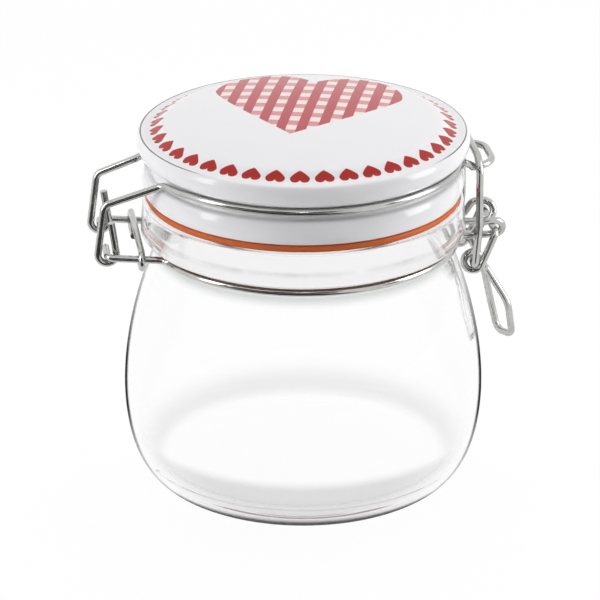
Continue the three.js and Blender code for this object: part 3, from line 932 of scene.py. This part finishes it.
class JAR_OT_lid(bpy.types.Operator):
    """Turns the glazed lid, with its plug, lower band, wire groove, flange, brim and dome"""

    bl_idname = "jar.lid"
    bl_label = "Printed lid"

    def execute(self, context):
        s = context.scene.jar.lid
        band_r = s.lid_radius - BAND_IN
        edge_r = s.lid_radius - EDGE_IN
        eased = (edge_r + EDGE_EASE / 2, EDGE_Z - EDGE_EASE / 2)
        brim_r = edge_r - BRIM
        shoulder_r = brim_r - SHOULDER_W
        shoulder_z = EDGE_Z + SHOULDER_H
        top = EDGE_Z + s.dome_height
        profile = [
            corner(0, 0, PLUG_LOW_Z + DISH_DEPTH),
            corner(PLUG_LOW_R - 2 * PLUG_LIP, 0, PLUG_LOW_Z + DISH_DEPTH, DISH_ROUND),
            corner(PLUG_LOW_R - PLUG_LIP, 0, PLUG_LOW_Z, PLUG_ROUND),
            corner(PLUG_LOW_R, 0, PLUG_LOW_Z, PLUG_ROUND),
            corner(PLUG_R, 0, LID_LOW_Z - PLUG_STRAIGHT, PLUG_EASE),
            corner(PLUG_R, 0, LID_LOW_Z, SEAT_ROUND),
            corner(band_r - BAND_SWELL, 0, LID_LOW_Z, BAND_LOW_ROUND),
            corner(band_r, 0, (LID_LOW_Z + BAND_TOP_Z) / 2, BAND_CROWN),
            corner(band_r - BAND_SWELL, 0, BAND_TOP_Z, BAND_TOP_ROUND),
            corner(GROOVE_R, 0, BAND_TOP_Z + GROOVE_STEP, GROOVE_LOW_ROUND),
            corner(GROOVE_R, 0, FLANGE_LOW_Z, GROOVE_TOP_ROUND),
            corner(s.lid_radius - FLANGE_SWELL, 0, FLANGE_LOW_Z, FLANGE_LOW_ROUND),
            *sweep_curve(
                (s.lid_radius - FLANGE_SWELL / 2, FLANGE_LOW_Z + FLANGE_SWELL / 2),
                (s.lid_radius, FLANGE_LOW_Z + FLANGE_SWELL),
                (s.lid_radius + FLANGE_SWELL / 4, EDGE_Z - 2 * EDGE_EASE),
                eased,
            ),
            *sweep_curve(
                eased,
                (edge_r + EDGE_EASE / 4, EDGE_Z - EDGE_EASE / 8),
                (edge_r, EDGE_Z),
                (edge_r - EDGE_EASE, EDGE_Z),
            ),
            corner(brim_r, 0, EDGE_Z),
            *sweep_curve(
                (brim_r, EDGE_Z),
                (brim_r - SHOULDER_LEAD, EDGE_Z),
                (shoulder_r + SHOULDER_LEAD, shoulder_z - SHOULDER_LEAD * DOME_SLOPE),
                (shoulder_r, shoulder_z),
            ),
            *sweep_curve(
                (shoulder_r, shoulder_z),
                (shoulder_r - DOME_LEAD, shoulder_z + DOME_LEAD * DOME_SLOPE),
                (DOME_FLAT, top),
                (0, top),
            ),
        ]
        piece = turned_piece("lid_glazed", bent_points(profile, PROFILE_STEP))
        fit_piece(piece, glaze_finish(s), "lid", "ceramic_lid")
        return {"FINISHED"}


class JAR_OT_seal(bpy.types.Operator):
    """Turns the rubber seal, with a rounded lip"""

    bl_idname = "jar.seal"
    bl_label = "Rubber seal"

    def execute(self, context):
        s = context.scene.jar.lid
        low, high, lip = SEAL_LOW.z, SEAL_TOP.z, SEAL_TOP.x
        middle = (s.seal_inner + lip) / 2
        profile = [
            corner(middle, 0, low),
            corner(lip, 0, low, SEAL_LIP_ROUND),
            corner(lip, 0, high, SEAL_LIP_ROUND),
            corner(s.seal_inner, 0, high, SEAL_BORE_ROUND),
            corner(s.seal_inner, 0, low, SEAL_BORE_ROUND),
            corner(middle, 0, low),
        ]
        piece = turned_piece("seal_rubber", bent_points(profile, PROFILE_STEP))
        fit_piece(piece, rubber_finish(s), "lid", "rubber_seal")
        return {"FINISHED"}


class JAR_OT_neck_wire(bpy.types.Operator):
    """Bends the wire round the neck, with hinge legs and latch ears, and the clip that ties the legs"""

    bl_idname = "jar.neck_wire"
    bl_label = "Neck wire and clip"

    def execute(self, context):
        s = context.scene.jar.wire
        leg = ring_angle(NECK_WIRE_R, -LEG_Y, -1)
        ear_far = ring_angle(NECK_WIRE_R, -EAR_FAR_Y, 1)
        ear_near = ring_angle(NECK_WIRE_R, -EAR_Y, 1)
        half = [
            corner(HINGE_X, -(HOOK_Y - PIN_STUB), HINGE_Z),
            corner(HINGE_X, -LEG_Y, HINGE_Z, BEND_TIGHT),
            *ring_corners(NECK_WIRE_R, NECK_WIRE_Z, leg, ear_far, BEND_EASY, BEND_TIGHT),
            corner(RIM_CLEAR, -EAR_FAR_Y, NECK_WIRE_Z, BEND_TIGHT),
            corner(RIM_CLEAR + EAR_R, -EAR_FAR_Y, PIVOT_Z + EAR_R, BEND),
            *eye_corners(PIVOT_X, PIVOT_Z, EAR_R, math.pi / 2, -math.pi / 2, -EAR_FAR_Y, -EAR_Y),
            corner(RIM_CLEAR, -EAR_Y, PIVOT_Z - EAR_R, BEND_EASY),
            *ring_corners(NECK_WIRE_R, NECK_WIRE_Z, ear_near, 0, BEND_TIGHT, 0),
        ]
        piece = bent_wire("wire_neck", mirrored(half), s.wire_radius)
        fit_piece(piece, steel_finish(s), "jar", "neck_wire")

        leg_start = -math.sqrt(NECK_WIRE_R**2 - LEG_Y**2)
        leg_z = NECK_WIRE_Z + HINGE_RISE * (CLIP_X - leg_start) / (HINGE_X - leg_start)
        hug = s.wire_radius + s.clip_radius + CLIP_PLAY
        steps = math.ceil(math.pi / BEND_STEP)
        half = [corner(CLIP_X, -(LEG_Y - CLIP_RETURN), leg_z - hug)]
        for k in range(steps + 1):
            angle = -math.pi / 2 - math.pi * k / steps
            half.append(corner(CLIP_X, -LEG_Y + hug * math.cos(angle), leg_z + hug * math.sin(angle)))
        piece = bent_wire("wire_clip", mirrored(half), s.clip_radius)
        fit_piece(piece, steel_finish(s), "jar", "neck_wire_clip")
        return {"FINISHED"}


class JAR_OT_lid_wire(bpy.types.Operator):
    """Bends the wire round the lid, with its hooked hinge arms and the nose that the latch pulls on"""

    bl_idname = "jar.lid_wire"
    bl_label = "Lid wire"

    def execute(self, context):
        s = context.scene.jar.wire
        strand_x = HINGE_X - HOOK_R / math.cos(HOOK_LEAN) + STRAND_H * math.tan(HOOK_LEAN)
        tail_x = HINGE_X + HOOK_R / math.cos(HOOK_LEAN) - HOOK_TAIL * math.tan(HOOK_LEAN)

        def wire_half(side):
            start = ring_angle(LID_WIRE_R, side * HOOK_Y - ARM_SLANT, -1)
            end = ring_angle(LID_WIRE_R, side * NOSE_Y, 1)
            ring = ring_corners(LID_WIRE_R, LID_WIRE_Z, start, end, ARM_ROUND, BEND_TIGHT)
            for at, _ in ring:
                angle = math.atan2(at.y, at.x)
                from_end = min(abs(angle - start), abs(end - angle))
                at.z -= RING_DIP * max(0.0, 1 - from_end / DIP_ANGLE)
            hook_y = side * HOOK_Y
            return [
                corner(tail_x, hook_y, HINGE_Z + HOOK_TAIL),
                *eye_corners(HINGE_X, HINGE_Z, HOOK_R, HOOK_LEAN, -math.pi - HOOK_LEAN, hook_y, hook_y),
                corner(strand_x, hook_y, HINGE_Z + STRAND_H, BEND_EASY),
                ring[0],
                *ring[ARM_SKIP:],
                corner(LID_WIRE_R + NOSE_START, side * NOSE_Y, NOSE_Z, BEND_TIGHT),
                corner(LID_WIRE_R + NOSE_REACH, side * NOSE_Y, NOSE_Z + NOSE_LIP, NOSE_ROUND),
            ]

        piece = bent_wire("wire_lid", wire_half(-1) + wire_half(1)[::-1], s.wire_radius)
        fit_piece(piece, steel_finish(s), "lid", "lid_wire")
        return {"FINISHED"}


class JAR_OT_latch(bpy.types.Operator):
    """Bends the latch's link and its lever, with coiled eyes and a twisted loop for a handle"""

    bl_idname = "jar.latch"
    bl_label = "Latch link and lever"

    def execute(self, context):
        s = context.scene.jar.wire
        half = [
            corner(EYE_X, -(LEVER_Y - EYE_PITCH - WIRE_ROOM), EYE_Z),
            corner(EYE_X, -LINK_Y, EYE_Z, BEND_TIGHT),
            corner(EYE_X + LINK_KINK_OUT, -LINK_Y, EYE_Z + LINK_KINK_Z, BEND_EASY),
            corner(BAR_X, -LINK_Y, BAR_Z, BAR_ROUND),
        ]
        piece = bent_wire("wire_link", mirrored(half), s.wire_radius)
        fit_piece(piece, steel_finish(s), "link", "latch_link")

        arm = math.atan2(EYE_Z - PIVOT_Z, EYE_X - PIVOT_X) + math.asin(EYE_R / LEVER_ARM)
        eye_in = arm + math.pi / 2
        turns = 2 * math.pi + eye_in - HANDLE_TILT - 2 * math.pi * round(eye_in / (2 * math.pi))
        eye = eye_corners(EYE_X, EYE_Z, EYE_R, eye_in, eye_in - turns, -LEVER_Y, -LEVER_Y + EYE_PITCH)
        leave = eye[-1][0]

        def along(reach, y, lift, bend):
            x = leave.x + reach * math.sin(HANDLE_TILT) + lift * math.cos(HANDLE_TILT)
            z = leave.z - reach * math.cos(HANDLE_TILT) + lift * math.sin(HANDLE_TILT)
            return corner(x, y, z, bend)

        def looped(reach, y, bow, bend):
            return along(reach, y * math.cos(HANDLE_TWIST), bow - y * math.sin(HANDLE_TWIST), bend)

        def lever_half(side):
            return [
                corner(PIVOT_X, side * (EAR_Y - s.wire_radius), PIVOT_Z),
                corner(PIVOT_X, side * LEVER_Y, PIVOT_Z, BEND_TIGHT),
                *[corner(at.x, -side * at.y, at.z) for at, _ in eye],
                along(s.wire_radius, side * (LEVER_Y - EYE_PITCH), 0, BEND_TIGHT / 2),
                along(HANDLE_PINCH, side * WAIST_Y, HANDLE_BOW / 2, BEND_EASY),
                looped(HANDLE_BELLY, side * BELLY_Y, HANDLE_BOW, BELLY_ROUND),
                looped(HANDLE_REACH, side * (LOOP_R + s.wire_radius), 0, LOOP_R),
            ]

        piece = bent_wire("wire_lever", lever_half(-1) + lever_half(1)[::-1], s.wire_radius)
        fit_piece(piece, steel_finish(s), "lever", "latch_lever")
        return {"FINISHED"}


# Stage


def seen_directly(tree):
    """One for rays that show a background: straight to the camera, mirrored or through glass."""
    path = add_node(tree, "ShaderNodeLightPath").outputs
    seen = calc(tree, "MAXIMUM", path["Is Camera Ray"], path["Is Glossy Ray"])
    return calc(tree, "MAXIMUM", seen, path["Is Transmission Ray"])


def floor_finish(settings):
    """A pale floor that shows near white and keeps a soft shadow."""
    material, tree, shader, output = new_material("Studio floor")
    tree.nodes.remove(shader)
    pale = opaque(settings.floor_colour)
    plain = add_node(tree, "ShaderNodeBsdfDiffuse", {"Color": pale}).outputs["BSDF"]
    dimmed = opaque([channel * FLOOR_SOFT for channel in settings.floor_colour])
    soft = add_node(tree, "ShaderNodeBsdfDiffuse", {"Color": dimmed}).outputs["BSDF"]
    glow = add_node(tree, "ShaderNodeEmission", {"Color": (1, 1, 1, 1), "Strength": FLOOR_GLOW})
    lit = add_node(tree, "ShaderNodeAddShader", {0: soft, 1: glow.outputs["Emission"]}).outputs["Shader"]
    mixed = add_node(tree, "ShaderNodeMixShader", {0: seen_directly(tree), 1: plain, 2: lit})
    tree.links.new(mixed.outputs["Shader"], output.inputs["Surface"])
    return material


def turn_towards(piece, aim, axis):
    """Turns an object until one of its axes points at a place."""
    piece.rotation_euler = (Vector(aim) - piece.location).to_track_quat(axis, "Y").to_euler()


def add_lamp(name, power, place, width, height):
    """A soft rectangular lamp turned towards the jar, which no surface mirrors."""
    bpy.ops.object.light_add(type="AREA", location=place)
    lamp = bpy.context.object
    lamp.name = name
    lamp.data.shape = "RECTANGLE"
    lamp.data.size = width
    lamp.data.size_y = height
    lamp.data.energy = power
    lamp.visible_glossy = False
    lamp.visible_transmission = False
    turn_towards(lamp, STAGE_CENTRE, "-Z")


def card_finish(name, shine):
    """A card that shows in the wire and the glaze, and not in the glass: black, or shining by itself."""
    material, tree, shader, output = new_material(name)
    shader.inputs["Base Color"].default_value = CARD_BLACK
    shader.inputs["Roughness"].default_value = 1.0
    shader.inputs["Emission Color"].default_value = (1, 1, 1, 1)
    shader.inputs["Emission Strength"].default_value = shine
    path = add_node(tree, "ShaderNodeLightPath").outputs
    inside = calc(tree, "GREATER_THAN", path["Transmission Depth"], 0.5)
    inside = calc(tree, "MAXIMUM", inside, path["Is Singular Ray"])
    clear = add_node(tree, "ShaderNodeBsdfTransparent").outputs["BSDF"]
    mixed = add_node(tree, "ShaderNodeMixShader", {0: inside, 1: shader.outputs["BSDF"], 2: clear})
    tree.links.new(mixed.outputs["Shader"], output.inputs["Surface"])
    return material


def add_card(name, material, place, width, height, aim=STAGE_CENTRE):
    """A card that only shows mirrored in the wire and the glaze, turned towards a place."""
    bpy.ops.mesh.primitive_plane_add(size=1, location=place)
    card = bpy.context.object
    card.name = name
    card.scale = (width, height, 1)
    turn_towards(card, aim, "Z")
    card.data.materials.append(material)
    card.visible_camera = False
    card.visible_diffuse = False
    card.visible_shadow = False


class JAR_OT_stage(bpy.types.Operator):
    """Sets the floor, the surroundings, the lamps, the dark and bright cards and the camera"""

    bl_idname = "jar.stage"
    bl_label = "Stage"

    def execute(self, context):
        s = context.scene.jar.stage
        bpy.ops.object.select_all(action="DESELECT")
        bpy.ops.mesh.primitive_plane_add(size=FLOOR_SIZE, location=(0, 0, -FLOOR_DROP))
        ground = bpy.context.object
        ground.name = "floor"
        ground.data.materials.append(floor_finish(s))

        world = bpy.data.worlds.new("Studio")
        world.use_nodes = True
        context.scene.world = world
        tree = world.node_tree
        background = tree.nodes["Background"]
        background.inputs["Color"].default_value = (1, 1, 1, 1)
        direction = add_node(tree, "ShaderNodeTexCoord").outputs["Generated"]
        depth = add_node(tree, "ShaderNodeSeparateXYZ", {0: direction}).outputs["Y"]
        ambient = spread(tree, depth, AMBIENT_FRONT_Y, 0.0, s.ambient_front, s.ambient)
        strength = spread(tree, seen_directly(tree), 0.0, 1.0, ambient, 1.0)
        tree.links.new(strength, background.inputs["Strength"])

        add_lamp("lamp_left", s.side_power, **LAMP_LEFT)
        add_lamp("lamp_right", s.side_power * RIGHT_SHARE, **LAMP_RIGHT)
        add_lamp("lamp_top", s.top_power, **LAMP_TOP)

        black = card_finish("Dark card", 0.0)
        bright = card_finish("Bright card", CARD_SHINE)
        add_card("card_front", black, **CARD_FRONT)
        add_card("card_left", black, **CARD_LEFT)
        add_card("card_right", black, **CARD_RIGHT)
        add_card("card_low", black, **CARD_LOW)
        add_card("card_window", bright, **CARD_WINDOW)
        add_card("card_side", bright, **CARD_SIDE)
        add_card("card_spot", card_finish("Spot card", SPOT_SHINE), **CARD_SPOT)

        bpy.ops.object.camera_add(location=CAMERA_PLACE)
        camera = bpy.context.object
        camera.name = "camera"
        camera.data.lens = CAMERA_LENS
        camera.data.clip_start = CAMERA_NEAR
        turn_towards(camera, CAMERA_AIM, "-Z")
        context.scene.camera = camera
        context.scene.view_settings.view_transform = "Standard"
        return {"FINISHED"}


class JAR_PT_sidebar(bpy.types.Panel):
    """Sizes, colours and steps of the jar"""

    bl_label = "Clip-top jar"
    bl_space_type = "VIEW_3D"
    bl_region_type = "UI"
    bl_category = "Jar"

    def draw(self, context):
        settings = context.scene.jar
        for group in (settings.glass, settings.lid, settings.wire, settings.stage):
            box = self.layout.box()
            for key in group.__annotations__:
                box.prop(group, key)
        for step in STEPS:
            self.layout.operator(step.bl_idname)


STEPS = (
    JAR_OT_glass_body,
    JAR_OT_lid,
    JAR_OT_seal,
    JAR_OT_neck_wire,
    JAR_OT_lid_wire,
    JAR_OT_latch,
    JAR_OT_stage,
)
CLASSES = (
    JarGlassSettings,
    JarLidSettings,
    JarWireSettings,
    JarStageSettings,
    JarSettings,
    *STEPS,
    JAR_PT_sidebar,
)


def register():
    for item in CLASSES:
        bpy.utils.register_class(item)
    bpy.types.Scene.jar = PointerProperty(type=JarSettings)


def unregister():
    del bpy.types.Scene.jar
    for item in reversed(CLASSES):
        bpy.utils.unregister_class(item)


def main():
    register()
    bpy.ops.jar.glass_body()
    bpy.ops.jar.lid()
    bpy.ops.jar.seal()
    bpy.ops.jar.neck_wire()
    bpy.ops.jar.lid_wire()
    bpy.ops.jar.latch()
    bpy.ops.jar.stage()


if __name__ == "__main__":
    main()
